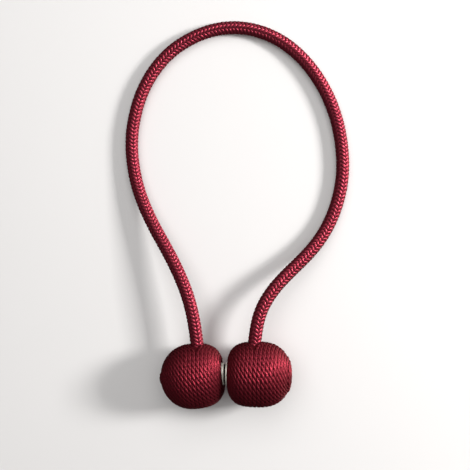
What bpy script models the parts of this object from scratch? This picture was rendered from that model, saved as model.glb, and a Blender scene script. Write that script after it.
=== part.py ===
"""Magnetic curtain tieback, closed and laid on a table.

Two balls wound with yarn are held together by two disc magnets. A braided cord leaves the
side of one ball, makes a wide loop that gathers the curtain, and goes into the other ball.

Metres, +Z up. The origin is on the table, under the middle of the pair of balls. +X runs
through the magnets from the left ball to the right ball, and the loop lies towards +Y.
"""

import math

import bmesh
import bpy
import numpy as np
from mathutils import Vector

# Clearance between pieces that meet
CLEARANCE = 0.0003

# Wound balls
BALL_RADIUS = 0.0176
FLAT_DEPTH = 0.0004
BALL_HEIGHT = BALL_RADIUS - FLAT_DEPTH
YARN_PITCH = 0.00218
GROOVE_DEPTH = 0.00035
WINDING_STEPS = 32
RIM_RADIUS = 0.0088
DISH_RADIUS = 0.0076

# One entry a ball: the centre on the table, the heading of the ball's outer pole, how far its pole
# and its magnet side reach from the centre, how full each side is (2 is round, more is squarer),
# where the flat face round the magnet lies, and the raised first turns at the pole
BALLS = (
    {
        "name": "ball_left",
        "centre": (-0.0177, -0.0009),
        "heading": math.radians(186.0),
        "pole_reach": 0.0172,
        "pole_fullness": 2.05,
        "face_reach": 0.0176,
        "face_fullness": 2.9,
        "face_depth": 0.0160,
        "cap_radius": 0.0030,
        "cap_rise": 0.0006,
    },
    {
        "name": "ball_right",
        "centre": (0.0181, 0.0005),
        "heading": 0.0,
        "pole_reach": 0.0173,
        "pole_fullness": 2.05,
        "face_reach": 0.0180,
        "face_fullness": 3.2,
        "face_depth": 0.0168,
        "cap_radius": 0.0084,
        "cap_rise": 0.0004,
    },
)

# Disc magnets, face to face on one line along X
MAGNET_RADIUS = 0.0060
MAGNET_THICKNESS = 0.0030
MAGNET_EDGE = 0.0005
MAGNET_EDGE_STEPS = 3
MAGNET_STEPS = 40
MAGNET_AXIS_Y = 0.0005
MAGNET_SIDES = (("magnet_left", -1.0), ("magnet_right", 1.0))

# Braided cord
CORD_RADIUS = 0.0036
CORD_POINTS = 44
CORD_RESOLUTION = 4
BORE_LENGTH = 0.016
BORE_SIDES = 16

# The cord's middle line, from the left ball round the loop to the right ball, in millimetres.
# Each end lies inside a ball. The loop lies on the table, and its two legs climb to the balls.
CORD_ROUTE_MM = (
    (-14.1, 8.5, 17.2),
    (-15.1, 16.0, 17.2),
    (-16.1, 23.5, 17.2),
    (-18.2, 34.5, 16.9),
    (-21.6, 45.5, 16.1),
    (-26.5, 56.5, 14.4),
    (-32.5, 67.5, 12.0),
    (-39.0, 78.5, 9.4),
    (-45.0, 90.0, 7.0),
    (-49.8, 102.5, 5.1),
    (-52.6, 115.5, 4.0),
    (-53.3, 129.0, 3.65),
    (-51.4, 142.5, 3.65),
    (-47.2, 155.5, 3.65),
    (-40.3, 167.5, 3.65),
    (-31.0, 177.5, 3.65),
    (-19.5, 184.8, 3.65),
    (-6.5, 189.3, 3.65),
    (7.0, 190.1, 3.65),
    (20.5, 187.0, 3.65),
    (32.5, 180.6, 3.65),
    (42.8, 171.3, 3.65),
    (51.0, 160.3, 3.65),
    (57.2, 148.0, 3.65),
    (61.3, 135.0, 3.65),
    (63.4, 121.5, 3.65),
    (63.5, 108.0, 3.65),
    (61.2, 95.0, 3.85),
    (56.6, 82.5, 4.7),
    (49.8, 71.3, 6.9),
    (41.4, 61.8, 10.2),
    (32.2, 52.8, 13.5),
    (24.2, 43.3, 16.0),
    (18.9, 33.0, 17.1),
    (16.8, 24.0, 17.2),
    (15.9, 17.0, 17.2),
    (15.0, 10.0, 17.2),
)

# Colours, roughness and metallic value of each finish
FINISHES = {
    "wound yarn": ((0.25, 0.012, 0.030, 1.0), 0.42, 0.0),
    "braided cord": ((0.28, 0.014, 0.034, 1.0), 0.40, 0.0),
    "nickel plate": ((0.62, 0.60, 0.55, 1.0), 0.20, 1.0),
}


def clear_scene():
    """Remove every object of the scene that the script starts in."""
    for old in list(bpy.data.objects):
        bpy.data.objects.remove(old, do_unlink=True)


def new_collection(name):
    """Make a collection and link it to the scene."""
    made = bpy.data.collections.new(name)
    bpy.context.scene.collection.children.link(made)
    return made


def make_finish(name):
    """Make the Principled material of one finish."""
    colour, roughness, metallic = FINISHES[name]
    finish = bpy.data.materials.new(name)
    finish.use_nodes = True
    shader = finish.node_tree.nodes["Principled BSDF"]
    shader.inputs["Base Color"].default_value = colour
    shader.inputs["Roughness"].default_value = roughness
    shader.inputs["Metallic"].default_value = metallic
    finish.diffuse_color = colour
    return finish


def turned(name, profile, steps, collection, finish):
    """Turn a profile of (radius, height) points, listed from top to bottom, round local Z."""
    mesh = bpy.data.meshes.new(name)
    chain = bmesh.new()
    points = [chain.verts.new((radius, 0.0, height)) for radius, height in profile]
    for upper, lower in zip(points, points[1:]):
        chain.edges.new((upper, lower))
    chain.to_mesh(mesh)
    chain.free()
    mesh.materials.append(finish)
    made = bpy.data.objects.new(name, mesh)
    collection.objects.link(made)
    screw = made.modifiers.new("Turn", "SCREW")
    screw.axis = "Z"
    screw.angle = math.tau
    screw.steps = steps
    screw.render_steps = steps
    screw.use_merge_vertices = True
    screw.merge_threshold = 0.00001
    screw.use_smooth_shade = True
    return made


def aim_along(heading):
    """Rotation that lays local Z level, along a heading measured from +X."""
    return (0.0, math.radians(90.0), heading)


def winding_profile(ball):
    """Profile of a wound ball from its outer pole to the axis at its magnet side.

    Each side is a quarter of a superellipse. The curve is walked by its length, half a turn of
    yarn at a time, and every second point is sunk into the groove between two turns.
    """
    angle = np.linspace(0.0, math.pi, 2001)
    outer = angle <= math.pi / 2
    power = 2.0 / np.where(outer, ball["pole_fullness"], ball["face_fullness"])
    reach = np.where(outer, ball["pole_reach"], ball["face_reach"])
    radius = BALL_RADIUS * np.abs(np.sin(angle)) ** power
    height = np.sign(np.cos(angle)) * reach * np.abs(np.cos(angle)) ** power
    kept = outer | (radius >= RIM_RADIUS)
    radius = radius[kept]
    height = height[kept]
    length = np.concatenate(([0.0], np.cumsum(np.hypot(np.diff(radius), np.diff(height)))))
    turns = round(length[-1] / YARN_PITCH)
    stations = np.linspace(0.0, length[-1], 2 * turns + 1)
    at_radius = np.interp(stations, length, radius)
    at_height = np.interp(stations, length, height)
    along_radius = np.gradient(at_radius, stations)
    along_height = np.gradient(at_height, stations)
    size = np.hypot(along_radius, along_height)
    lift = np.where(np.arange(stations.size) % 2 == 1, -GROOVE_DEPTH, 0.0)
    lift = lift + np.where(stations < ball["cap_radius"], ball["cap_rise"], 0.0)
    at_radius = at_radius - lift * along_height / size
    at_height = at_height + lift * along_radius / size
    at_radius[0] = 0.0
    face = -ball["face_depth"]
    return list(zip(at_radius, at_height)) + [(DISH_RADIUS, face), (0.0, face)]


def magnet_profile():
    """Profile of a disc magnet with rounded edges, from the middle of its top to its bottom."""
    half = MAGNET_THICKNESS / 2
    inner = MAGNET_RADIUS - MAGNET_EDGE
    quarter = [math.radians(90.0) * step / MAGNET_EDGE_STEPS for step in range(MAGNET_EDGE_STEPS + 1)]
    top = [
        (inner + MAGNET_EDGE * math.sin(turn), half - MAGNET_EDGE + MAGNET_EDGE * math.cos(turn))
        for turn in quarter
    ]
    bottom = [(radius, -height) for radius, height in reversed(top)]
    return [(0.0, half)] + top + bottom + [(0.0, -half)]


def smooth_route(points, count):
    """Even points along the natural cubic spline through the given points."""
    points = np.array(points)
    knots = np.concatenate(([0.0], np.cumsum(np.linalg.norm(np.diff(points, axis=0), axis=1))))
    gap = np.diff(knots)
    slope = np.diff(points, axis=0) / gap[:, None]
    system = np.eye(len(points))
    right = np.zeros_like(points)
    for row in range(1, len(points) - 1):
        system[row, row - 1] = gap[row - 1]
        system[row, row] = 2.0 * (gap[row - 1] + gap[row])
        system[row, row + 1] = gap[row]
        right[row] = 6.0 * (slope[row] - slope[row - 1])
    bend = np.linalg.solve(system, right)
    fine = np.linspace(0.0, knots[-1], 4001)
    span = np.clip(np.searchsorted(knots, fine, side="right") - 1, 0, len(gap) - 1)
    before = ((knots[span + 1] - fine) / gap[span])[:, None]
    after = 1.0 - before
    square = (gap[span] ** 2)[:, None] / 6.0
    curve = before * points[span] + after * points[span + 1]
    curve += square * ((before**3 - before) * bend[span] + (after**3 - after) * bend[span + 1])
    run = np.concatenate(([0.0], np.cumsum(np.linalg.norm(np.diff(curve, axis=0), axis=1))))
    even = np.linspace(0.0, run[-1], count)
    return np.stack([np.interp(even, run, curve[:, axis]) for axis in range(3)], axis=1)


def keep_as_cutter(cutter, name, cutters):
    """Name a shape that is only cut away with, and put it among the cutters."""
    cutter.name = name
    for home in list(cutter.users_collection):
        home.objects.unlink(cutter)
    cutters.objects.link(cutter)
    cutter.hide_render = True
    cutter.display_type = "WIRE"
    return cutter


def rod_cutter(name, start, end, radius, sides, cutters):
    """A round cutter from one point to another whose flats stand at the given radius."""
    run = end - start
    bpy.ops.mesh.primitive_cylinder_add(
        vertices=sides,
        radius=radius / math.cos(math.pi / sides),
        depth=run.length,
        location=(start + end) / 2,
        rotation=run.to_track_quat("Z", "X").to_euler(),
    )
    return keep_as_cutter(bpy.context.object, name, cutters)


def table_cutter(cutters):
    """A block under the table top, which gives each ball its small flat spot."""
    thickness = 0.004
    bpy.ops.mesh.primitive_cube_add(size=1.0, location=(0.0, 0.0, -thickness / 2))
    block = bpy.context.object
    block.scale = (0.12, 0.08, thickness)
    bpy.ops.object.transform_apply(location=False, rotation=False, scale=True)
    return keep_as_cutter(block, "table_cut", cutters)


def cut(piece, cutter):
    """Take a cutter away from a piece."""
    taken = piece.modifiers.new("Cut " + cutter.name, "BOOLEAN")
    taken.operation = "DIFFERENCE"
    taken.solver = "EXACT"
    taken.object = cutter


def make_magnet(name, side, parts, finish, root):
    """One disc magnet beside the joint, on the side that its sign gives."""
    magnet = turned(name, magnet_profile(), MAGNET_STEPS, parts, finish)
    middle = side * (CLEARANCE + MAGNET_THICKNESS) / 2
    magnet.location = (middle, MAGNET_AXIS_Y, BALL_HEIGHT)
    magnet.rotation_euler = aim_along(0.0)
    magnet.parent = root


def make_ball(ball, side, cord_end, parts, cutters, table, finish, root):
    """One wound ball with its magnet seat, its cord bore and its flat spot."""
    made = turned(ball["name"], winding_profile(ball), WINDING_STEPS, parts, finish)
    made.location = (ball["centre"][0], ball["centre"][1], BALL_HEIGHT)
    made.rotation_euler = aim_along(ball["heading"])
    made.parent = root
    seat_floor = side * (1.5 * CLEARANCE + MAGNET_THICKNESS)
    seat = rod_cutter(
        ball["name"] + "_magnet_seat",
        Vector((seat_floor, MAGNET_AXIS_Y, BALL_HEIGHT)),
        Vector((-side * MAGNET_THICKNESS, MAGNET_AXIS_Y, BALL_HEIGHT)),
        MAGNET_RADIUS + CLEARANCE,
        MAGNET_STEPS,
        cutters,
    )
    tip, beyond = cord_end
    outwards = (beyond - tip).normalized()
    bore = rod_cutter(
        ball["name"] + "_cord_bore",
        tip - CLEARANCE * outwards,
        tip + BORE_LENGTH * outwards,
        CORD_RADIUS + CLEARANCE,
        BORE_SIDES,
        cutters,
    )
    for cutter in (seat, bore, table):
        cut(made, cutter)


def make_cord(route, parts, finish, root):
    """The cord as a round tube along its route, closed at both ends."""
    curve = bpy.data.curves.new("cord", "CURVE")
    curve.dimensions = "3D"
    curve.bevel_depth = CORD_RADIUS
    curve.bevel_resolution = CORD_RESOLUTION
    curve.use_fill_caps = True
    spline = curve.splines.new("POLY")
    spline.points.add(len(route) - 1)
    for point, place in zip(spline.points, route):
        point.co = (place[0], place[1], place[2], 1.0)
    spline.use_smooth = True
    curve.materials.append(finish)
    cord = bpy.data.objects.new("cord", curve)
    parts.objects.link(cord)
    cord.parent = root


def main():
    """Build the tieback."""
    clear_scene()
    parts = new_collection("curtain tieback")
    cutters = new_collection("cutters")
    root = bpy.data.objects.new("tieback", None)
    parts.objects.link(root)
    yarn = make_finish("wound yarn")
    braid = make_finish("braided cord")
    nickel = make_finish("nickel plate")

    route = smooth_route([[value / 1000.0 for value in point] for point in CORD_ROUTE_MM], CORD_POINTS)
    make_cord(route, parts, braid, root)
    for name, side in MAGNET_SIDES:
        make_magnet(name, side, parts, nickel, root)

    table = table_cutter(cutters)
    left_end = (Vector(route[0]), Vector(route[1]))
    right_end = (Vector(route[-1]), Vector(route[-2]))
    for ball, side, cord_end in zip(BALLS, (-1.0, 1.0), (left_end, right_end)):
        make_ball(ball, side, cord_end, parts, cutters, table, yarn, root)


main()
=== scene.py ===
"""Dress the magnetic curtain tieback: a braided cord, two balls wound with twisted yarn and two
nickel disc magnets, on a pale table in soft light from a window.

The file is laid out as an add-on and run as a script. Metres, +Z up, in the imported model's frame:
the origin is on the table under the pair of balls, +X runs through the magnets and the cord's
loop lies towards +Y.
"""

import math

import bpy
import numpy as np
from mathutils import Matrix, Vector


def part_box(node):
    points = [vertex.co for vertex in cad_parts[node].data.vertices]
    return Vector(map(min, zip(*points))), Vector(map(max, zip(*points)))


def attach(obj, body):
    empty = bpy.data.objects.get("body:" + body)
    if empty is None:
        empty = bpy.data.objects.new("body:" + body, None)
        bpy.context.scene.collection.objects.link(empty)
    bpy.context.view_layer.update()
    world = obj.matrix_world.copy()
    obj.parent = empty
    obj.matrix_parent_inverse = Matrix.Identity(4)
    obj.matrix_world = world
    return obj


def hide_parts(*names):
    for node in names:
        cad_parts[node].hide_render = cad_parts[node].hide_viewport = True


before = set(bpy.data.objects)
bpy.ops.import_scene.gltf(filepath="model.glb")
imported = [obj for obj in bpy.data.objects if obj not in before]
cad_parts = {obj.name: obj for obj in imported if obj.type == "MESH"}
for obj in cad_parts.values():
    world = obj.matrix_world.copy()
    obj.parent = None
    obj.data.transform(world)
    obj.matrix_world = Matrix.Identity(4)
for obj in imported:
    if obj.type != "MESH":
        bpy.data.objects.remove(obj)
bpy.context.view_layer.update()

bl_info = {
    "name": "Magnetic curtain tieback",
    "version": (1, 0, 0),
    "blender": (4, 5, 0),
    "location": "3D View > Sidebar > Tieback",
    "description": "Makes the braided cord, the wound yarn balls and the magnets of a curtain tieback",
    "category": "Object",
}

MM = 0.001

# The cord's middle line, from the left ball round the loop to the right ball, in millimetres
CORD_ROUTE_MM = (
    (-14.1, 8.5, 17.2),
    (-15.1, 16.0, 17.2),
    (-16.1, 23.5, 17.2),
    (-18.2, 34.5, 16.9),
    (-21.6, 45.5, 16.1),
    (-26.5, 56.5, 14.4),
    (-32.5, 67.5, 12.0),
    (-39.0, 78.5, 9.4),
    (-45.0, 90.0, 7.0),
    (-49.8, 102.5, 5.1),
    (-52.6, 115.5, 4.0),
    (-53.3, 129.0, 3.65),
    (-51.4, 142.5, 3.65),
    (-47.2, 155.5, 3.65),
    (-40.3, 167.5, 3.65),
    (-31.0, 177.5, 3.65),
    (-19.5, 184.8, 3.65),
    (-6.5, 189.3, 3.65),
    (7.0, 190.1, 3.65),
    (20.5, 187.0, 3.65),
    (32.5, 180.6, 3.65),
    (42.8, 171.3, 3.65),
    (51.0, 160.3, 3.65),
    (57.2, 148.0, 3.65),
    (61.3, 135.0, 3.65),
    (63.4, 121.5, 3.65),
    (63.5, 108.0, 3.65),
    (61.2, 95.0, 3.85),
    (56.6, 82.5, 4.7),
    (49.8, 71.3, 6.9),
    (41.4, 61.8, 10.2),
    (32.2, 52.8, 13.5),
    (24.2, 43.3, 16.0),
    (18.9, 33.0, 17.1),
    (16.8, 24.0, 17.2),
    (15.9, 17.0, 17.2),
    (15.0, 10.0, 17.2),
)

# One entry a ball: its centre on the table, the heading of its outer pole, how far the pole and the
# magnet side reach from the centre, how full each side is (2 is round), the depth of the face round
# the magnet, and the raised first turns at the pole
BALLS = (
    {
        "name": "ball_left",
        "centre": (-17.7 * MM, -0.9 * MM),
        "heading": math.radians(186.0),
        "pole_reach": 17.2 * MM,
        "pole_fullness": 2.05,
        "face_reach": 17.6 * MM,
        "face_fullness": 2.9,
        "face_depth": 16.0 * MM,
        "cap_radius": 3.0 * MM,
        "cap_rise": 0.6 * MM,
        "cord_end": 0,
    },
    {
        "name": "ball_right",
        "centre": (18.1 * MM, 0.5 * MM),
        "heading": 0.0,
        "pole_reach": 17.4 * MM,
        "pole_fullness": 2.4,
        "face_reach": 17.3 * MM,
        "face_fullness": 3.2,
        "face_depth": 16.1 * MM,
        "cap_radius": 9.3 * MM,
        "cap_rise": 0.6 * MM,
        "cord_end": -1,
    },
)

# A point on the camera's middle ray, about as high as the balls' centres
AIM = (5.4 * MM, 75.4 * MM, 17.5 * MM)

# Length of thread that one unit of the UV maps covers
UV_LENGTH = 10.0 * MM


class TiebackCord(bpy.types.PropertyGroup):
    """Sizes and colour of the braided cord."""

    diameter: bpy.props.FloatProperty(
        name="Diameter", description="Outer diameter of the cord", default=7.2 * MM, unit="LENGTH"
    )
    lay: bpy.props.FloatProperty(
        name="Lay",
        description="Length in which a strand goes once round",
        default=16.8 * MM,
        unit="LENGTH",
    )
    pairs: bpy.props.IntProperty(
        name="Strand pairs", description="Strands that wind each way", default=8
    )
    strand_width: bpy.props.FloatProperty(
        name="Strand width", description="Width of one strand", default=1.80 * MM, unit="LENGTH"
    )
    strand_thickness: bpy.props.FloatProperty(
        name="Strand thickness", description="Thickness of one strand", default=1.15 * MM, unit="LENGTH"
    )
    rings_per_lay: bpy.props.IntProperty(
        name="Rings in a lay", description="Rings of points in one turn of a strand", default=30
    )
    colour: bpy.props.FloatVectorProperty(
        name="Colour", description="Dye of the cord", default=(0.232, 0.029, 0.043), subtype="COLOR"
    )


class TiebackYarn(bpy.types.PropertyGroup):
    """Sizes and colour of the twisted yarn wound on the balls."""

    ball_radius: bpy.props.FloatProperty(
        name="Ball radius",
        description="Radius over the yarn at the widest turn",
        default=17.6 * MM,
        unit="LENGTH",
    )
    ball_height: bpy.props.FloatProperty(
        name="Ball height",
        description="Height of the balls' centres over the table",
        default=17.2 * MM,
        unit="LENGTH",
    )
    pitch: bpy.props.FloatProperty(
        name="Pitch",
        description="Distance from one turn of yarn to the next",
        default=2.18 * MM,
        unit="LENGTH",
    )
    width: bpy.props.FloatProperty(
        name="Yarn width", description="Width of the yarn as it lies", default=2.44 * MM, unit="LENGTH"
    )
    height: bpy.props.FloatProperty(
        name="Yarn height",
        description="Height of the yarn as it lies",
        default=2.05 * MM,
        unit="LENGTH",
    )
    fullness: bpy.props.FloatProperty(
        name="Fullness",
        description="How full the yarn's section is, where 2 is an ellipse",
        default=3.5,
    )
    groove: bpy.props.FloatProperty(
        name="Groove",
        description="Depth of the grooves between the plies",
        default=0.55 * MM,
        unit="LENGTH",
    )
    stroke: bpy.props.FloatProperty(
        name="Stroke",
        description="Length of yarn from one ply to the next",
        default=3.3 * MM,
        unit="LENGTH",
    )
    ring_step: bpy.props.FloatProperty(
        name="Ring step",
        description="Length of yarn between rings of points",
        default=0.40 * MM,
        unit="LENGTH",
    )
    colour: bpy.props.FloatVectorProperty(
        name="Colour", description="Dye of the yarn", default=(0.17, 0.0165, 0.0245), subtype="COLOR"
    )


class TiebackMagnet(bpy.types.PropertyGroup):
    """Sizes and colour of the disc magnets."""

    radius: bpy.props.FloatProperty(
        name="Radius", description="Radius of a magnet's cup", default=6.0 * MM, unit="LENGTH"
    )
    edge: bpy.props.FloatProperty(
        name="Edge", description="Radius of a cup's rounded edge", default=0.30 * MM, unit="LENGTH"
    )
    step: bpy.props.FloatProperty(
        name="Step",
        description="How far a magnet stands out of its cup",
        default=0.45 * MM,
        unit="LENGTH",
    )
    core: bpy.props.FloatProperty(
        name="Core", description="Radius of a magnet inside its cup", default=5.1 * MM, unit="LENGTH"
    )
    axis_y: bpy.props.FloatProperty(
        name="Axis Y",
        description="Place of the magnets' shared axis along Y",
        default=0.5 * MM,
        unit="LENGTH",
    )
    colour: bpy.props.FloatVectorProperty(
        name="Colour",
        description="Colour of the nickel plate",
        default=(0.95, 0.90, 0.80),
        subtype="COLOR",
    )
    # Painted shade: the magnet inside its cup takes this dark colour, so the seam between the two cups
    # looks shaded
    dark: bpy.props.FloatVectorProperty(
        name="Dark",
        description="Colour of the bare magnet in its cup",
        default=(0.03, 0.026, 0.022),
        subtype="COLOR",
    )


class TiebackStage(bpy.types.PropertyGroup):
    """The table, the light and the camera."""

    table_colour: bpy.props.FloatVectorProperty(
        name="Table",
        description="Colour of the table top",
        default=(0.60, 0.593, 0.593),
        subtype="COLOR",
    )
    window_power: bpy.props.FloatProperty(
        name="Window", description="Power of the window light in watts", default=15.0
    )
    glint_power: bpy.props.FloatProperty(
        name="Glint",
        description="Power of the window as glossy surfaces mirror it in watts",
        default=26.5,
    )
    fill_power: bpy.props.FloatProperty(
        name="Fill",
        description="Power of the soft light that fills the table's shadows in watts",
        default=7.0,
    )
    ceiling_power: bpy.props.FloatProperty(
        name="Ceiling",
        description="Power of the bright ceiling as glossy surfaces mirror it in watts",
        default=3.6,
    )
    bounce_power: bpy.props.FloatProperty(
        name="Bounce",
        description="Power of the lit table as glossy surfaces mirror it in watts",
        default=10.0,
    )
    room: bpy.props.FloatProperty(
        name="Room", description="Strength of the light from all round", default=0.20
    )
    mirrored_room: bpy.props.FloatProperty(
        name="Mirrored room",
        description="Strength of the room as glossy surfaces mirror it",
        default=0.10,
    )
    distance: bpy.props.FloatProperty(
        name="Distance",
        description="Distance of the camera from the balls",
        default=483.7 * MM,
        unit="LENGTH",
    )
    lean: bpy.props.FloatProperty(
        name="Lean",
        description="Lean of the view towards +X",
        default=math.radians(4.0),
        unit="ROTATION",
    )
    field: bpy.props.FloatProperty(
        name="Field",
        description="Angle that the picture takes in",
        default=math.radians(29.32),
        unit="ROTATION",
    )


def unit(vectors):
    """Vectors over their own lengths."""
    return vectors / np.linalg.norm(vectors, axis=-1, keepdims=True)


def smooth_route(points, count):
    """Even points along the natural cubic spline through the given points.

    The spline's knots are the chord lengths. The bends at the knots solve the usual three-term
    equations, and each span is the cubic that its two ends and their bends give.
    """
    points = np.array(points)
    knots = np.concatenate(([0.0], np.cumsum(np.linalg.norm(np.diff(points, axis=0), axis=1))))
    gap = np.diff(knots)
    slope = np.diff(points, axis=0) / gap[:, None]
    inner = np.arange(1, len(points) - 1)
    system = np.eye(len(points))
    system[inner, inner - 1] = gap[:-1]
    system[inner, inner] = 2.0 * (gap[:-1] + gap[1:])
    system[inner, inner + 1] = gap[1:]
    right = np.zeros_like(points)
    right[1:-1] = 6.0 * np.diff(slope, axis=0)
    bend = np.linalg.solve(system, right)
    fine = np.linspace(0.0, knots[-1], 20001)
    span = np.clip(np.searchsorted(knots, fine, side="right") - 1, 0, len(gap) - 1)
    before = ((knots[span + 1] - fine) / gap[span])[:, None]
    after = 1.0 - before
    square = (gap[span] ** 2)[:, None] / 6.0
    curve = before * points[span] + after * points[span + 1]
    curve += square * ((before**3 - before) * bend[span] + (after**3 - after) * bend[span + 1])
    run = np.concatenate(([0.0], np.cumsum(np.linalg.norm(np.diff(curve, axis=0), axis=1))))
    even = np.linspace(0.0, run[-1], count)
    return np.stack([np.interp(even, run, curve[:, axis]) for axis in range(3)], axis=1)


def cord_route(count):
    """Even points along the cord's middle line, in metres."""
    return smooth_route(np.array(CORD_ROUTE_MM) * MM, count)


def frames_along(route):
    """Unit vectors sideways and upwards across a route, at each of its points."""
    ahead = unit(np.gradient(route, axis=0))
    side = unit(np.cross(ahead, (0.0, 0.0, 1.0)))
    return side, np.cross(side, ahead)


def tube_faces(tubes, rings, sides):
    """Faces of several closed tubes whose points run by tube, ring and side.

    Each quad goes one step round and then one step along, which faces outwards where the sides
    run counter-clockwise about the tube's direction. Each tube ends in two flat caps. Also
    gives every corner's step round and ring along, unwrapped, for a UV map.
    """
    tube, ring, side = np.meshgrid(
        np.arange(tubes), np.arange(rings - 1), np.arange(sides), indexing="ij"
    )
    base = tube * rings * sides
    following = (side + 1) % sides
    near = base + ring * sides
    far = near + sides
    quads = np.stack([near + side, near + following, far + following, far + side], axis=-1)
    round_steps = np.stack([side, side + 1, side + 1, side], axis=-1)
    along_steps = np.stack([ring, ring, ring + 1, ring + 1], axis=-1)
    loop = np.arange(sides)
    starts = np.arange(tubes)[:, None] * rings * sides
    first = starts + loop[::-1]
    last = starts + (rings - 1) * sides + loop
    faces = quads.reshape(-1, 4).tolist() + first.tolist() + last.tolist()
    cap_round = np.concatenate([np.tile(loop[::-1], tubes), np.tile(loop, tubes)])
    cap_along = np.concatenate([np.zeros(tubes * sides), np.full(tubes * sides, rings - 1)])
    corner_round = np.concatenate([round_steps.ravel(), cap_round])
    corner_along = np.concatenate([along_steps.ravel(), cap_along])
    return faces, corner_round, corner_along


def joined(first, second):
    """Two sets of points, faces, UV steps and furrow depths, the masks for painted shade, as one set."""
    start = len(first[0])
    faces = first[1] + [[index + start for index in face] for face in second[1]]
    points, uv, depth = (np.concatenate([first[item], second[item]]) for item in (0, 2, 3))
    return points, faces, uv, depth


def mesh_object(name, points, faces, material, corner_uv=None, depth=None):
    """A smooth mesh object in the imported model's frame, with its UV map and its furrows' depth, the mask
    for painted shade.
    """
    mesh = bpy.data.meshes.new(name)
    mesh.from_pydata(points.reshape(-1, 3).tolist(), [], faces)
    mesh.shade_smooth()
    if corner_uv is not None:
        layer = mesh.uv_layers.new(name="thread")
        layer.data.foreach_set("uv", corner_uv.astype(np.float32).ravel())
    if depth is not None:
        furrow_painted_shade = mesh.attributes.new("furrow_painted_shade", "FLOAT", "POINT")
        furrow_painted_shade.data.foreach_set("value", depth.astype(np.float32).ravel())
    mesh.materials.append(material)
    mesh.update()
    made = bpy.data.objects.new(name, mesh)
    bpy.context.scene.collection.objects.link(made)
    return made


def braid(route, cord, cord_length):
    """Points, faces, UV steps and furrow depths of the braid's strands; the depths mask painted shade.

    A strand's angle round the cord grows in step with the length, once a lay, half of the
    strands one way and half the other. Its radius rises and falls with the cosine of four times
    that angle, squared off, with opposite signs for the two ways, so each strand passes over two
    and under two and the floats stand in eight columns. The section is a dome.
    """
    columns_turn = math.radians(20.0)
    squareness = 2.2
    wander_length = 3.1 * MM
    wandering = 0.025
    widening = 0.06
    thickening = 0.10
    swing_share = 0.25
    side_shade = 0.3
    under_shade = 0.3
    step = np.linalg.norm(np.diff(route, axis=0), axis=1)
    length = np.concatenate(([0.0], np.cumsum(step)))
    side, up = frames_along(route)
    way = np.repeat((1.0, -1.0), cord.pairs)[:, None]
    number = np.tile(np.arange(cord.pairs), 2)[:, None]
    angle = way * math.tau * length[None, :] / cord.lay + math.tau * number / cord.pairs
    wave = np.cos(4.0 * angle - columns_turn)
    lift = way * np.tanh(squareness * wave) / math.tanh(squareness)
    wander = np.sin(length[None, :] / wander_length + 2.4 * number + 1.3 * way)
    half_width = cord.strand_width / 2 * (1.0 + widening * lift + wandering * wander)
    half_thickness = cord.strand_thickness / 2 * (1.0 + thickening * lift)
    swing = swing_share * cord.strand_thickness
    middle = cord.diameter / 2 - swing - cord.strand_thickness / 2
    radius = middle + swing * lift
    outward = np.cos(angle)[..., None] * side + np.sin(angle)[..., None] * up
    path = route + radius[..., None] * outward
    along = unit(np.gradient(path, axis=1))
    across = unit(np.cross(outward, along))
    proud = np.cross(along, across)
    section = np.array(
        ((1.0, 0.0), (0.81, 0.59), (0.31, 0.95), (-0.31, 0.95), (-0.81, 0.59), (-1.0, 0.0), (0.0, -0.7))
    )
    points = (
        path[:, :, None, :]
        + (half_width[..., None] * section[:, 0])[..., None] * across[:, :, None, :]
        + (half_thickness[..., None] * section[:, 1])[..., None] * proud[:, :, None, :]
    )
    edge = np.abs(section[:, 0]) ** 2
    # Painted shade: darker at each strand's edges and where it passes under the strands of the other way
    depth = np.clip(side_shade * edge[None, None, :] + under_shade * (1.0 - lift[..., None]) / 2, 0.0, 1.0)

    tubes, rings, sides = points.shape[:3]
    faces, corner_round, corner_along = tube_faces(tubes, rings, sides)
    wall_corners = np.repeat(np.arange(tubes), (rings - 1) * sides * 4)
    cap_corners = np.tile(np.repeat(np.arange(tubes), sides), 2)
    strand_of = np.concatenate([wall_corners, cap_corners])
    uv_apart = 3.0
    uv_round = corner_round / sides + uv_apart * strand_of
    uv_along = corner_along * (cord_length / rings) / UV_LENGTH
    uv = np.stack([uv_round, uv_along], axis=-1)
    return points.reshape(-1, 3), faces, uv, depth.ravel()


def braid_core(cord):
    """Points, faces, UV steps and furrow depths of the round core that closes the braid's gaps, its depth
    full so that it is painted as shade.

    Its radius is the cord's, less most of a strand's thickness and a little slack.
    """
    sides = 12
    rings = 160
    sunk = 1.9 * cord.strand_thickness / 2
    slack = 0.25 * MM
    core_radius = cord.diameter / 2 - sunk - slack
    route = cord_route(rings)
    side, up = frames_along(route)
    angle = math.tau * np.arange(sides) / sides
    sideways = np.sin(angle)[None, :, None] * side[:, None, :]
    upwards = np.cos(angle)[None, :, None] * up[:, None, :]
    points = route[:, None, :] + core_radius * (sideways + upwards)
    faces, corner_round, corner_along = tube_faces(1, rings, sides)
    uv = np.stack([corner_round / 3.0, corner_along / 4.0], axis=-1)
    # The whole core is painted as shade
    return points.reshape(-1, 3), faces, uv, np.ones(rings * sides)


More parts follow.
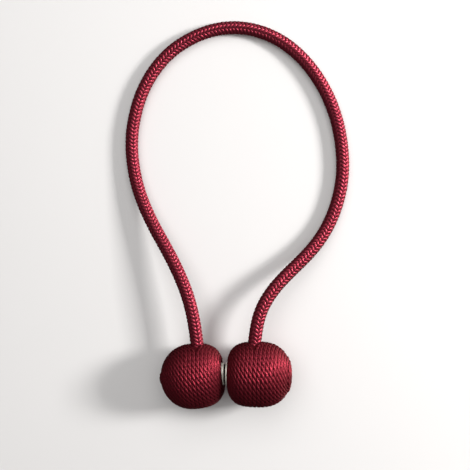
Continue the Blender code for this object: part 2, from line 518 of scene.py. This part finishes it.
def winding_curve(ball, yarn):
    """The crest line of a wound ball, from its outer pole to the magnet, as radius and height.

    Two quarter superellipses meet at the widest turn. The line then rolls over the rim to the
    magnet, and the first turns at the pole are lifted by a soft step.
    """
    rim = 8.8 * MM
    last_radius = 7.3 * MM
    last_drop = 0.55 * MM
    step_width = 0.6 * MM
    angle = np.linspace(0.0, math.pi, 4001)
    outer = angle <= math.pi / 2
    power = 2.0 / np.where(outer, ball["pole_fullness"], ball["face_fullness"])
    reach = np.where(outer, ball["pole_reach"], ball["face_reach"])
    radius = yarn.ball_radius * np.abs(np.sin(angle)) ** power
    height = np.sign(np.cos(angle)) * reach * np.abs(np.cos(angle)) ** power
    kept = outer | (radius >= rim)
    last_height = -ball["face_depth"] - last_drop
    roll = np.linspace(0.0, 1.0, 60)[1:]
    radius = np.concatenate([radius[kept], radius[kept][-1] + roll * (last_radius - radius[kept][-1])])
    height = np.concatenate([height[kept], height[kept][-1] + roll * (last_height - height[kept][-1])])
    length = np.concatenate(([0.0], np.cumsum(np.hypot(np.diff(radius), np.diff(height)))))
    even = np.linspace(0.0, length[-1], 3000)
    radius = np.interp(even, length, radius)
    height = np.interp(even, length, height)
    slope = unit(np.stack([np.gradient(radius, even), np.gradient(height, even)], axis=-1))
    normal = np.stack([-slope[:, 1], slope[:, 0]], axis=-1)
    lift = ball["cap_rise"] * 0.5 * (1.0 - np.tanh((even - ball["cap_radius"]) / step_width))
    return even, radius + lift * normal[:, 0], height + lift * normal[:, 1], normal


def ball_axes(ball):
    """The ball's own X, Y and Z axes as columns: Z towards its outer pole, X straight down."""
    turn = ball["heading"]
    return np.array(
        (
            (0.0, -math.sin(turn), math.cos(turn)),
            (0.0, math.cos(turn), math.sin(turn)),
            (-1.0, 0.0, 0.0),
        )
    )


def wound_yarn(ball, yarn, root):
    """Points of the yarn wound on one ball, with its UV steps and furrow depth, the mask for painted shade.

    The yarn follows a spiral on the crest line: its place along the line grows by one pitch a
    turn. Round the cord's root it is pushed aside as by a lens, its distance from the root's
    line going to the root of the squared distance plus a squared bump. Its section is a
    superellipse. The plies are round ridges that cross it aslant, one pitch across for one
    stroke along, a whole number of strokes a turn counted from the top of the ball, so the
    ridges of neighbouring turns join into long slanting lines.
    """
    first_turn = 0.42
    lens_length = 6.0 * MM
    push = 4.1 * MM
    most_squeezed = 0.55
    top_points = 17
    ply_arc = 0.9
    groove_shade = 0.6
    side_shade = 0.4
    uv_plies = 3.0
    line, line_radius, line_height, normal = winding_curve(ball, yarn)
    axes = ball_axes(ball)
    centre = np.array((*ball["centre"], yarn.ball_height))
    local_root = axes.T @ (root - centre)
    root_angle = math.atan2(local_root[1], local_root[0])
    root_place = np.interp(-local_root[2], -line_height, line)

    turns = round(line[-1] / yarn.pitch)
    pitch = line[-1] / turns
    first_angle = root_angle - math.tau * (root_place / pitch - 0.5)
    rough = np.linspace(first_turn, turns, 40 * turns)
    rough_radius = np.interp(rough * pitch, line, line_radius)
    rough_length = np.concatenate(
        ([0.0], np.cumsum(np.hypot(np.diff(rough) * math.tau * rough_radius[1:], np.diff(rough) * pitch)))
    )
    rings = int(rough_length[-1] / yarn.ring_step)
    run = np.linspace(0.0, rough_length[-1], rings)
    turn = np.interp(run, rough_length, rough)
    angle = first_angle + math.tau * turn
    place = turn * pitch

    away = place - root_place
    swing = (angle - root_angle + math.pi) % math.tau - math.pi
    along_turn = swing * np.interp(place, line, line_radius)
    lens = np.exp(-((along_turn / lens_length) ** 2))
    pushed = np.sign(away) * np.sqrt(away**2 + push**2 * lens)
    squeeze = np.clip(np.abs(away) / np.maximum(np.abs(pushed), 1e-9), most_squeezed, 1.0)
    place = np.clip(root_place + pushed, 0.0, line[-1])

    radius = np.interp(place, line, line_radius)
    height = np.interp(place, line, line_height)
    out_radius = np.interp(place, line, normal[:, 0])
    out_height = np.interp(place, line, normal[:, 1])
    sink = yarn.height / 2
    radius = radius - sink * out_radius
    height = height - sink * out_height
    ray = np.stack([np.cos(angle), np.sin(angle)], axis=-1)
    path = np.concatenate([radius[:, None] * ray, height[:, None]], axis=1)
    proud = np.concatenate([out_radius[:, None] * ray, out_height[:, None]], axis=1)
    ahead = unit(np.gradient(path, axis=0))
    across = unit(np.cross(proud, ahead))
    proud = np.cross(ahead, across)

    top_angle = math.pi
    first_top = math.ceil((first_angle - top_angle) / math.tau + first_turn)
    tops = (top_angle - first_angle) / math.tau + np.arange(first_top - 1, first_top + turns + 2)
    around = math.tau * np.interp((tops[:-1] + 0.5) * pitch, line, line_radius)
    strokes = np.concatenate(([0.0], np.cumsum(np.maximum(np.round(around / yarn.stroke), 2.0))))
    strokes = np.interp(turn, tops, strokes)

    sweep = np.linspace(0.0, math.pi, 721)
    power = 2.0 / yarn.fullness
    outline = np.stack(
        [
            yarn.width / 2 * np.sign(np.cos(sweep)) * np.abs(np.cos(sweep)) ** power,
            yarn.height / 2 * np.abs(np.sin(sweep)) ** power,
        ],
        axis=-1,
    )
    girth = np.concatenate(([0.0], np.cumsum(np.linalg.norm(np.diff(outline, axis=0), axis=1))))
    even = np.linspace(0.0, girth[-1], top_points)
    top = np.stack([np.interp(even, girth, outline[:, 0]), np.interp(even, girth, outline[:, 1])], axis=-1)
    tangent = unit(np.gradient(top, axis=0))
    facing = np.stack([tangent[:, 1], -tangent[:, 0]], axis=-1)
    from_crest = girth[-1] / 2 - even
    phase = strokes[:, None] - from_crest[None, :] / yarn.pitch
    slant = 2.0 * ply_arc * (phase - np.floor(phase) - 0.5)
    drop = (1.0 - np.sqrt(1.0 - slant**2)) / (1.0 - math.sqrt(1.0 - ply_arc**2))
    ridged = top[None, :, :] - (yarn.groove * drop)[..., None] * facing[None, :, :]
    bottom = np.array(((-0.8, -0.55), (0.0, -0.8), (0.8, -0.55))) * (yarn.width / 2, yarn.height / 2)
    section = np.concatenate([ridged, np.repeat(bottom[None], rings, axis=0)], axis=1)
    points = (
        path[:, None, :]
        + (squeeze[:, None] * section[..., 0])[..., None] * across[:, None, :]
        + section[..., 1][..., None] * proud[:, None, :]
    )
    world = points @ axes.T + centre
    world[..., 2] = np.maximum(world[..., 2], 0.0)
    # Painted shade: darker in the grooves between plies, at the yarn's sides and all over its underside
    edge = np.abs(top[:, 0] / (yarn.width / 2)) ** 5
    depth = np.clip(groove_shade * drop + side_shade * edge[None, :], 0.0, 1.0)
    depth = np.concatenate([depth, np.ones((rings, 3))], axis=1)

    sides = section.shape[1]
    faces, corner_round, corner_along = tube_faces(1, rings, sides)
    under = from_crest[-1] - girth[-1] / 4 * np.arange(1, 5)
    unwrapped = np.concatenate([from_crest, under]) / yarn.pitch
    ring = corner_along.astype(int)
    uv_round = (unwrapped[corner_round.astype(int)] - strokes[ring]) / uv_plies
    uv = np.stack([uv_round, run[ring] / UV_LENGTH], axis=-1)
    return world.reshape(-1, 3), faces, uv, depth.ravel()


def underlay(ball, yarn):
    """Points, faces, UV steps and furrow depths of the closed layer under the top yarn, its depth full so
    that it is painted as shade.

    The crest line is moved in by a little less than the yarn's height, and by a bell of the
    distance from the pole less there, so that it fills the first turn. It is turned round the
    ball's axis, then it steps down into the magnet's seat and closes there.
    """
    sides = 60
    inset_share = 0.62
    pole_share = 0.50
    pole_width = 1.6 * MM
    seat = 6.3 * MM
    seat_depth = 2.2 * MM
    lowest = 0.05 * MM
    line, line_radius, line_height, normal = winding_curve(ball, yarn)
    picked = np.linspace(0, line.size - 1, 72).astype(int)
    inset = yarn.height * (inset_share - pole_share * np.exp(-((line[picked] / pole_width) ** 2)))
    radius = np.maximum(line_radius[picked] - inset * normal[picked, 0], 0.0)
    height = line_height[picked] - inset * normal[picked, 1]
    seat_floor = -ball["face_depth"] + seat_depth
    radius = np.concatenate([radius[1:], (seat, seat)])
    height = np.concatenate([height[1:], (height[-1], seat_floor)])
    angle = math.tau * np.arange(sides) / sides
    rows = np.stack(
        [
            radius[:, None] * np.cos(angle),
            radius[:, None] * np.sin(angle),
            np.repeat(height[:, None], sides, axis=1),
        ],
        axis=-1,
    )
    rows = rows[::-1]
    world = rows @ ball_axes(ball).T + np.array((*ball["centre"], yarn.ball_height))
    world[..., 2] = np.maximum(world[..., 2], lowest)
    faces, corner_round, corner_along = tube_faces(1, len(rows), sides)
    uv = np.stack([corner_round / 12.0, corner_along / 4.0], axis=-1)
    # The whole layer is painted as shade
    return world.reshape(-1, 3), faces, uv, np.ones(len(rows) * sides)


def turned_disc(far, near, radius, edge, step, core, axis_y, axis_z):
    """Points and faces of a magnet in its cup, a stepped disc turned about X.

    The cup is a straight rim with a quarter circle at each end. The magnet stands out of it at
    the near end by one step and has the core's radius, so a seam stays between two cups, painted dark as
    shade.
    """
    sides = 128
    flat_rows = 6
    bevel = 0.1 * step
    thickness = abs(near - far)
    lip = thickness - step
    quarter = np.radians(np.linspace(0.0, 90.0, 9))
    round_in = edge * (1.0 - np.cos(quarter))
    round_out = edge * (1.0 - np.sin(quarter))
    inner = np.linspace(0.15, 0.92, flat_rows)
    depth = np.concatenate(
        [
            np.zeros(flat_rows),
            round_in,
            lip - round_out,
            (lip, lip, thickness, thickness),
            np.full(flat_rows, thickness),
        ]
    )
    around = np.concatenate(
        [
            inner * (radius - edge),
            radius - round_out,
            radius - round_in,
            (core + bevel, core, core, core - bevel),
            inner[::-1] * core,
        ]
    )
    along = far + math.copysign(1.0, near - far) * depth
    if near < far:
        along, around = along[::-1], around[::-1]
    angle = math.tau * np.arange(sides) / sides
    points = np.stack(
        [
            np.repeat(along[:, None], sides, axis=1),
            axis_y + around[:, None] * np.cos(angle),
            axis_z + around[:, None] * np.sin(angle),
        ],
        axis=-1,
    )
    return points, tube_faces(1, along.size, sides)[0]


def new_group(name, inputs, outputs):
    """An empty shader node group with the given sockets, each a (name, kind, default)."""
    group = bpy.data.node_groups.new(name, "ShaderNodeTree")
    for label, kind, default in inputs:
        socket = group.interface.new_socket(label, in_out="INPUT", socket_type=kind)
        if default is not None:
            socket.default_value = default
    for label, kind in outputs:
        group.interface.new_socket(label, in_out="OUTPUT", socket_type=kind)
    return group


def add(tree, kind, label, **settings):
    """A labelled node with the given settings."""
    node = tree.nodes.new(kind)
    node.label = label
    for key, value in settings.items():
        setattr(node, key, value)
    return node


def filament_group():
    """Fine filaments along a thread: streaks of colour, gloss and height, with painted shade in the
    furrows.
    """
    known = bpy.data.node_groups.get("silky filaments")
    if known:
        return known
    tree = new_group(
        "silky filaments",
        (
            ("Thread", "NodeSocketVector", None),
            ("Dye", "NodeSocketColor", (0.3, 0.01, 0.03, 1.0)),
            # Shade is the colour of the darker filament streaks and also of the painted shade in furrows
            ("Shade", "NodeSocketColor", (0.06, 0.002, 0.008, 1.0)),
            ("Furrow_painted_shade", "NodeSocketFloat", 0.0),
            ("Filaments", "NodeSocketFloat", 30.0),
            ("Stretch", "NodeSocketFloat", 2.0),
            ("Gloss", "NodeSocketFloat", 0.35),
        ),
        (("Colour", "NodeSocketColor"), ("Roughness", "NodeSocketFloat"), ("Height", "NodeSocketFloat")),
    )
    entry = add(tree, "NodeGroupInput", "in")
    leave = add(tree, "NodeGroupOutput", "out")
    scale = add(tree, "ShaderNodeCombineXYZ", "streak scale")
    tree.links.new(entry.outputs["Filaments"], scale.inputs["X"])
    tree.links.new(entry.outputs["Stretch"], scale.inputs["Y"])
    stretched = add(tree, "ShaderNodeVectorMath", "streaks along", operation="MULTIPLY")
    tree.links.new(entry.outputs["Thread"], stretched.inputs[0])
    tree.links.new(scale.outputs["Vector"], stretched.inputs[1])
    streaks = add(tree, "ShaderNodeTexNoise", "filaments", noise_dimensions="2D")
    streaks.inputs["Scale"].default_value = 1.0
    streaks.inputs["Detail"].default_value = 3.0
    streaks.inputs["Roughness"].default_value = 0.6
    tree.links.new(stretched.outputs["Vector"], streaks.inputs["Vector"])
    contrast = add(tree, "ShaderNodeMapRange", "streak contrast")
    contrast.inputs["From Min"].default_value = 0.32
    contrast.inputs["From Max"].default_value = 0.68
    tree.links.new(streaks.outputs["Fac"], contrast.inputs["Value"])

    share = add(tree, "ShaderNodeMath", "streak share", operation="MULTIPLY")
    share.inputs[1].default_value = 0.22
    tree.links.new(contrast.outputs["Result"], share.inputs[0])
    # Painted shade: the colour goes towards the shade colour by the furrow mask, as well as along the
    # darker streaks
    sunk = add(tree, "ShaderNodeMath", "furrow share", operation="MULTIPLY")
    sunk.inputs[1].default_value = 0.35
    tree.links.new(entry.outputs["Furrow_painted_shade"], sunk.inputs[0])
    dark = add(tree, "ShaderNodeMath", "how dark", operation="ADD", use_clamp=True)
    tree.links.new(share.outputs["Value"], dark.inputs[0])
    tree.links.new(sunk.outputs["Value"], dark.inputs[1])
    tint = add(tree, "ShaderNodeMix", "dye to shade", data_type="RGBA")
    tree.links.new(dark.outputs["Value"], tint.inputs["Factor"])
    tree.links.new(entry.outputs["Dye"], tint.inputs["A"])
    tree.links.new(entry.outputs["Shade"], tint.inputs["B"])
    tree.links.new(tint.outputs["Result"], leave.inputs["Colour"])

    dull = add(tree, "ShaderNodeMath", "duller streaks", operation="MULTIPLY_ADD")
    dull.inputs[1].default_value = 0.12
    tree.links.new(contrast.outputs["Result"], dull.inputs[0])
    tree.links.new(entry.outputs["Gloss"], dull.inputs[2])
    duller = add(tree, "ShaderNodeMath", "duller furrows", operation="MULTIPLY_ADD", use_clamp=True)
    duller.inputs[1].default_value = 0.15
    tree.links.new(entry.outputs["Furrow_painted_shade"], duller.inputs[0])
    tree.links.new(dull.outputs["Value"], duller.inputs[2])
    tree.links.new(duller.outputs["Value"], leave.inputs["Roughness"])
    tree.links.new(contrast.outputs["Result"], leave.inputs["Height"])
    return tree


def uneven_group():
    """Slow, soft unevenness over an object: a colour mixed towards another by noise."""
    known = bpy.data.node_groups.get("uneven finish")
    if known:
        return known
    group = new_group(
        "uneven finish",
        (
            ("Colour", "NodeSocketColor", (0.5, 0.5, 0.5, 1.0)),
            ("Other", "NodeSocketColor", (0.4, 0.4, 0.4, 1.0)),
            ("Size", "NodeSocketFloat", 100.0),
            ("Amount", "NodeSocketFloat", 0.5),
        ),
        (("Colour", "NodeSocketColor"),),
    )
    entry = add(group, "NodeGroupInput", "in")
    leave = add(group, "NodeGroupOutput", "out")
    place = add(group, "ShaderNodeTexCoord", "place")
    noise = add(group, "ShaderNodeTexNoise", "patches")
    noise.inputs["Detail"].default_value = 4.0
    group.links.new(place.outputs["Object"], noise.inputs["Vector"])
    group.links.new(entry.outputs["Size"], noise.inputs["Scale"])
    amount = add(group, "ShaderNodeMath", "amount", operation="MULTIPLY")
    group.links.new(noise.outputs["Fac"], amount.inputs[0])
    group.links.new(entry.outputs["Amount"], amount.inputs[1])
    mix = add(group, "ShaderNodeMix", "patchy", data_type="RGBA")
    group.links.new(amount.outputs["Value"], mix.inputs["Factor"])
    group.links.new(entry.outputs["Colour"], mix.inputs["A"])
    group.links.new(entry.outputs["Other"], mix.inputs["B"])
    group.links.new(mix.outputs["Result"], leave.inputs["Colour"])
    return group


def placed_group(tree, group, label, **values):
    """A group node with its own values on its named sockets."""
    node = add(tree, "ShaderNodeGroup", label, node_tree=group)
    for key, value in values.items():
        node.inputs[key].default_value = value
    return node


def silky_material(name, dye, filaments, stretch, gloss, relief):
    """Shiny polyester thread: dyed filaments that follow the thread, with painted shade where plies meet.

    It is mostly metallic, so its highlights take the dye's colour, and at a slant they are
    tinted dark red.
    """
    material = bpy.data.materials.new(name)
    material.use_nodes = True
    tree = material.node_tree
    shader = tree.nodes["Principled BSDF"]
    thread = add(tree, "ShaderNodeUVMap", "along the thread", uv_map="thread")
    furrow_painted_shade = add(tree, "ShaderNodeAttribute", "furrows", attribute_name="furrow_painted_shade")
    deep = (dye[0] * 0.55, dye[1] * 0.5, dye[2] * 0.75, 1.0)
    patchy = placed_group(
        tree, uneven_group(), "uneven dye", Colour=(*dye, 1.0), Other=deep, Size=55.0, Amount=0.6
    )
    # The shade colour stands for the darker filaments and for painted shade in furrows, at sides and
    # underneath
    silk = placed_group(
        tree,
        filament_group(),
        "filaments",
        Shade=(dye[0] * 0.22, dye[1] * 0.06, dye[2] * 0.10, 1.0),
        Filaments=filaments,
        Stretch=stretch,
        Gloss=gloss,
    )
    tree.links.new(thread.outputs["UV"], silk.inputs["Thread"])
    tree.links.new(furrow_painted_shade.outputs["Fac"], silk.inputs["Furrow_painted_shade"])
    tree.links.new(patchy.outputs["Colour"], silk.inputs["Dye"])
    bump = add(tree, "ShaderNodeBump", "filament relief")
    bump.inputs["Strength"].default_value = 0.9
    bump.inputs["Distance"].default_value = relief
    tree.links.new(silk.outputs["Height"], bump.inputs["Height"])
    tree.links.new(silk.outputs["Colour"], shader.inputs["Base Color"])
    tree.links.new(silk.outputs["Roughness"], shader.inputs["Roughness"])
    tree.links.new(bump.outputs["Normal"], shader.inputs["Normal"])
    shader.inputs["Metallic"].default_value = 0.75
    shader.inputs["IOR"].default_value = 1.7
    shader.inputs["Specular Tint"].default_value = (0.32, 0.06, 0.09, 1.0)
    material.diffuse_color = (*dye, 1.0)
    return material


def nickel_material(colour, dark, core, axis_y, axis_z):
    """Bright nickel plate with faint turning marks and soft smudges round a magnet painted dark as shade.

    Inside the core's radius, measured from the axis along X, the colour is the dark one: painted shade in
    the seam between the cups.
    """
    material = bpy.data.materials.new("nickel_plate")
    material.use_nodes = True
    tree = material.node_tree
    shader = tree.nodes["Principled BSDF"]
    darker = tuple(0.8 * value for value in colour)
    patchy = placed_group(
        tree, uneven_group(), "smudges", Colour=(*colour, 1.0), Other=(*darker, 1.0), Size=420.0, Amount=0.5
    )
    place = add(tree, "ShaderNodeTexCoord", "place")
    squeeze = add(tree, "ShaderNodeMapping", "marks round the rim")
    squeeze.inputs["Scale"].default_value = (9000.0, 260.0, 260.0)
    tree.links.new(place.outputs["Object"], squeeze.inputs["Vector"])
    marks = add(tree, "ShaderNodeTexNoise", "turning marks")
    marks.inputs["Scale"].default_value = 1.0
    marks.inputs["Detail"].default_value = 3.0
    tree.links.new(squeeze.outputs["Vector"], marks.inputs["Vector"])
    rough = add(tree, "ShaderNodeMapRange", "polish")
    rough.inputs["To Min"].default_value = 0.20
    rough.inputs["To Max"].default_value = 0.36
    tree.links.new(marks.outputs["Fac"], rough.inputs["Value"])
    bump = add(tree, "ShaderNodeBump", "mark relief")
    bump.inputs["Strength"].default_value = 0.12
    bump.inputs["Distance"].default_value = 0.02 * MM
    tree.links.new(marks.outputs["Fac"], bump.inputs["Height"])
    centred = add(tree, "ShaderNodeMapping", "place from the axis")
    centred.inputs["Scale"].default_value = (0.0, 1.0, 1.0)
    centred.inputs["Location"].default_value = (0.0, -axis_y, -axis_z)
    tree.links.new(place.outputs["Object"], centred.inputs["Vector"])
    away = add(tree, "ShaderNodeVectorMath", "distance from the axis", operation="LENGTH")
    tree.links.new(centred.outputs["Vector"], away.inputs[0])
    # Painted shade: inside the core's radius the colour goes to the dark one, for the shaded seam between
    # the cups
    cup = add(tree, "ShaderNodeMapRange", "cup or magnet")
    cup.inputs["From Min"].default_value = 1.02 * core
    cup.inputs["From Max"].default_value = 1.10 * core
    tree.links.new(away.outputs["Value"], cup.inputs["Value"])
    plate_or_painted_shade = add(tree, "ShaderNodeMixRGB", "plate or dark magnet")
    plate_or_painted_shade.inputs["Color1"].default_value = (*dark, 1.0)
    tree.links.new(cup.outputs["Result"], plate_or_painted_shade.inputs["Fac"])
    tree.links.new(patchy.outputs["Colour"], plate_or_painted_shade.inputs["Color2"])
    tree.links.new(plate_or_painted_shade.outputs["Color"], shader.inputs["Base Color"])
    tree.links.new(rough.outputs["Result"], shader.inputs["Roughness"])
    tree.links.new(bump.outputs["Normal"], shader.inputs["Normal"])
    shader.inputs["Metallic"].default_value = 0.35
    return material


def table_material(colour):
    """Matt pale table top with a very faint unevenness."""
    material = bpy.data.materials.new("pale_table")
    material.use_nodes = True
    tree = material.node_tree
    shader = tree.nodes["Principled BSDF"]
    darker = tuple(0.97 * value for value in colour)
    patchy = placed_group(
        tree,
        uneven_group(),
        "faint patches",
        Colour=(*colour, 1.0),
        Other=(*darker, 1.0),
        Size=6.0,
        Amount=1.0,
    )
    tree.links.new(patchy.outputs["Colour"], shader.inputs["Base Color"])
    shader.inputs["Roughness"].default_value = 0.65
    return material


class TIEBACK_OT_cord(bpy.types.Operator):
    """Make the braided cord along its route"""

    bl_idname = "tieback.cord"
    bl_label = "Braided cord"

    def execute(self, context):
        cord = context.scene.tieback_cord
        coarse = cord_route(400)
        length = np.linalg.norm(np.diff(coarse, axis=0), axis=1).sum()
        rings = round(length / cord.lay * cord.rings_per_lay)
        route = cord_route(rings)
        material = silky_material(
            "braid_silk", tuple(cord.colour), filaments=16.0, stretch=0.8, gloss=0.33, relief=0.03 * MM
        )
        points, faces, uv, depth = joined(braid(route, cord, length), braid_core(cord))
        made = mesh_object("braided_cord", points, faces, material, uv, depth)
        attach(made, "root")
        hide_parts("cord")
        return {"FINISHED"}


class TIEBACK_OT_balls(bpy.types.Operator):
    """Wind the twisted yarn on both balls"""

    bl_idname = "tieback.balls"
    bl_label = "Wound yarn balls"

    def execute(self, context):
        yarn = context.scene.tieback_yarn
        material = silky_material(
            "wound_silk", tuple(yarn.colour), filaments=36.0, stretch=0.8, gloss=0.37, relief=0.05 * MM
        )
        route = cord_route(800)
        for ball in BALLS:
            centre = np.array((*ball["centre"], yarn.ball_height))
            ends = route if ball["cord_end"] == 0 else route[::-1]
            outside = np.linalg.norm(ends - centre, axis=1) > yarn.ball_radius
            root = ends[np.argmax(outside)]
            points, faces, uv, depth = joined(wound_yarn(ball, yarn, root), underlay(ball, yarn))
            made = mesh_object("wound_" + ball["name"], points, faces, material, uv, depth)
            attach(made, "root")
            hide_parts(ball["name"])
        return {"FINISHED"}


class TIEBACK_OT_magnets(bpy.types.Operator):
    """Make the two disc magnets face to face"""

    bl_idname = "tieback.magnets"
    bl_label = "Disc magnets"

    def execute(self, context):
        magnet = context.scene.tieback_magnet
        height = context.scene.tieback_yarn.ball_height
        material = nickel_material(
            tuple(magnet.colour), tuple(magnet.dark), magnet.core, magnet.axis_y, height
        )
        touch = 0.02 * MM
        for node in ("magnet_left", "magnet_right"):
            low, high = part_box(node)
            far, near = (low.x, -touch) if high.x < 0.0 else (high.x, touch)
            points, faces = turned_disc(
                far, near, magnet.radius, magnet.edge, magnet.step, magnet.core, magnet.axis_y, height
            )
            made = mesh_object("disc_" + node, points, faces, material)
            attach(made, "root")
            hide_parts(node)
        return {"FINISHED"}


class TIEBACK_OT_stage(bpy.types.Operator):
    """Make the table, the window light and the camera over the table"""

    bl_idname = "tieback.stage"
    bl_label = "Table, light and camera"

    def execute(self, context):
        stage = context.scene.tieback_stage
        reach = 3.0
        drop = -0.1 * MM
        corners = np.array(
            ((-reach, -reach, drop), (reach, -reach, drop), (reach, reach, drop), (-reach, reach, drop))
        )
        table = mesh_object("table_top", corners, [[0, 1, 2, 3]], table_material(tuple(stage.table_colour)))
        # In reflections the bounce light below stands for the table's lit side
        table.visible_glossy = False
        # The table casts no shadow, so that light passes it from below
        table.visible_shadow = False

        world = bpy.data.worlds.new("room")
        world.use_nodes = True
        room = world.node_tree.nodes["Background"]
        room.inputs["Color"].default_value = (1.0, 0.985, 0.97, 1.0)
        path = add(world.node_tree, "ShaderNodeLightPath", "kind of ray")
        strength = add(world.node_tree, "ShaderNodeMapRange", "dim in reflections")
        strength.inputs["To Min"].default_value = stage.room
        strength.inputs["To Max"].default_value = stage.mirrored_room
        world.node_tree.links.new(path.outputs["Is Glossy Ray"], strength.inputs["Value"])
        world.node_tree.links.new(strength.outputs["Result"], room.inputs["Strength"])
        context.scene.world = world

        # Each light faces the aim from its place, and only matt or only glossy surfaces take it
        aim = Vector(AIM)
        for name, size, power, colour, place, kind in (
            ("window", (0.22, 0.22), stage.window_power, (1.0, 0.985, 0.965), (0.85, 0.13, 0.53), "matt"),
            ("glint", (0.24, 0.50), stage.glint_power, (1.0, 0.985, 0.965), (0.78, 0.42, 0.42), "glossy"),
            ("fill", (1.00, 1.00), stage.fill_power, (1.0, 0.99, 0.98), (-0.05, 0.25, 0.80), "matt"),
            ("bounce", (0.80, 0.80), stage.bounce_power, (1.0, 0.97, 0.96), (0.60, 0.12, -0.35), "glossy"),
            ("ceiling", (1.00, 1.00), stage.ceiling_power, (1.0, 0.99, 0.98), (0.10, 0.80, 0.60), "glossy"),
        ):
            light = bpy.data.lights.new(name, "AREA")
            light.shape = "RECTANGLE"
            light.size, light.size_y = size
            light.energy = power
            light.color = colour
            holder = bpy.data.objects.new(name, light)
            context.scene.collection.objects.link(holder)
            holder.location = aim + Vector(place)
            holder.rotation_euler = Vector(place).to_track_quat("Z", "Y").to_euler()
            holder.visible_glossy = kind == "glossy"
            holder.visible_diffuse = kind == "matt"

        lens = bpy.data.cameras.new("overhead")
        lens.sensor_width = 36.0
        lens.lens = lens.sensor_width / 2 / math.tan(stage.field / 2)
        lens.clip_start = 0.01
        camera = bpy.data.objects.new("overhead", lens)
        context.scene.collection.objects.link(camera)
        back = Vector((math.sin(stage.lean), 0.0, math.cos(stage.lean)))
        camera.location = aim + stage.distance * back
        camera.rotation_euler = (0.0, stage.lean, 0.0)
        context.scene.camera = camera
        context.scene.view_settings.view_transform = "Standard"
        return {"FINISHED"}


class TIEBACK_PT_panel(bpy.types.Panel):
    """Lists the tieback's pieces and their sizes"""

    bl_label = "Curtain tieback"
    bl_idname = "TIEBACK_PT_panel"
    bl_space_type = "VIEW_3D"
    bl_region_type = "UI"
    bl_category = "Tieback"

    def draw(self, context):
        scene = context.scene
        for settings, operator in (
            (scene.tieback_cord, "tieback.cord"),
            (scene.tieback_yarn, "tieback.balls"),
            (scene.tieback_magnet, "tieback.magnets"),
            (scene.tieback_stage, "tieback.stage"),
        ):
            box = self.layout.box()
            for name in settings.__annotations__:
                box.prop(settings, name)
            box.operator(operator)


SETTINGS = (
    ("tieback_cord", TiebackCord),
    ("tieback_yarn", TiebackYarn),
    ("tieback_magnet", TiebackMagnet),
    ("tieback_stage", TiebackStage),
)
CLASSES = (
    TIEBACK_OT_cord,
    TIEBACK_OT_balls,
    TIEBACK_OT_magnets,
    TIEBACK_OT_stage,
    TIEBACK_PT_panel,
)


def register():
    """Register the settings, the operators and the panel."""
    for name, settings in SETTINGS:
        bpy.utils.register_class(settings)
        setattr(bpy.types.Scene, name, bpy.props.PointerProperty(type=settings))
    for made in CLASSES:
        bpy.utils.register_class(made)


def unregister():
    """Take the panel, the operators and the settings away again."""
    for made in reversed(CLASSES):
        bpy.utils.unregister_class(made)
    for name, settings in reversed(SETTINGS):
        delattr(bpy.types.Scene, name)
        bpy.utils.unregister_class(settings)


def main():
    """Make every piece."""
    register()
    bpy.ops.tieback.stage()
    bpy.ops.tieback.cord()
    bpy.ops.tieback.balls()
    bpy.ops.tieback.magnets()


if __name__ == "__main__":
    main()
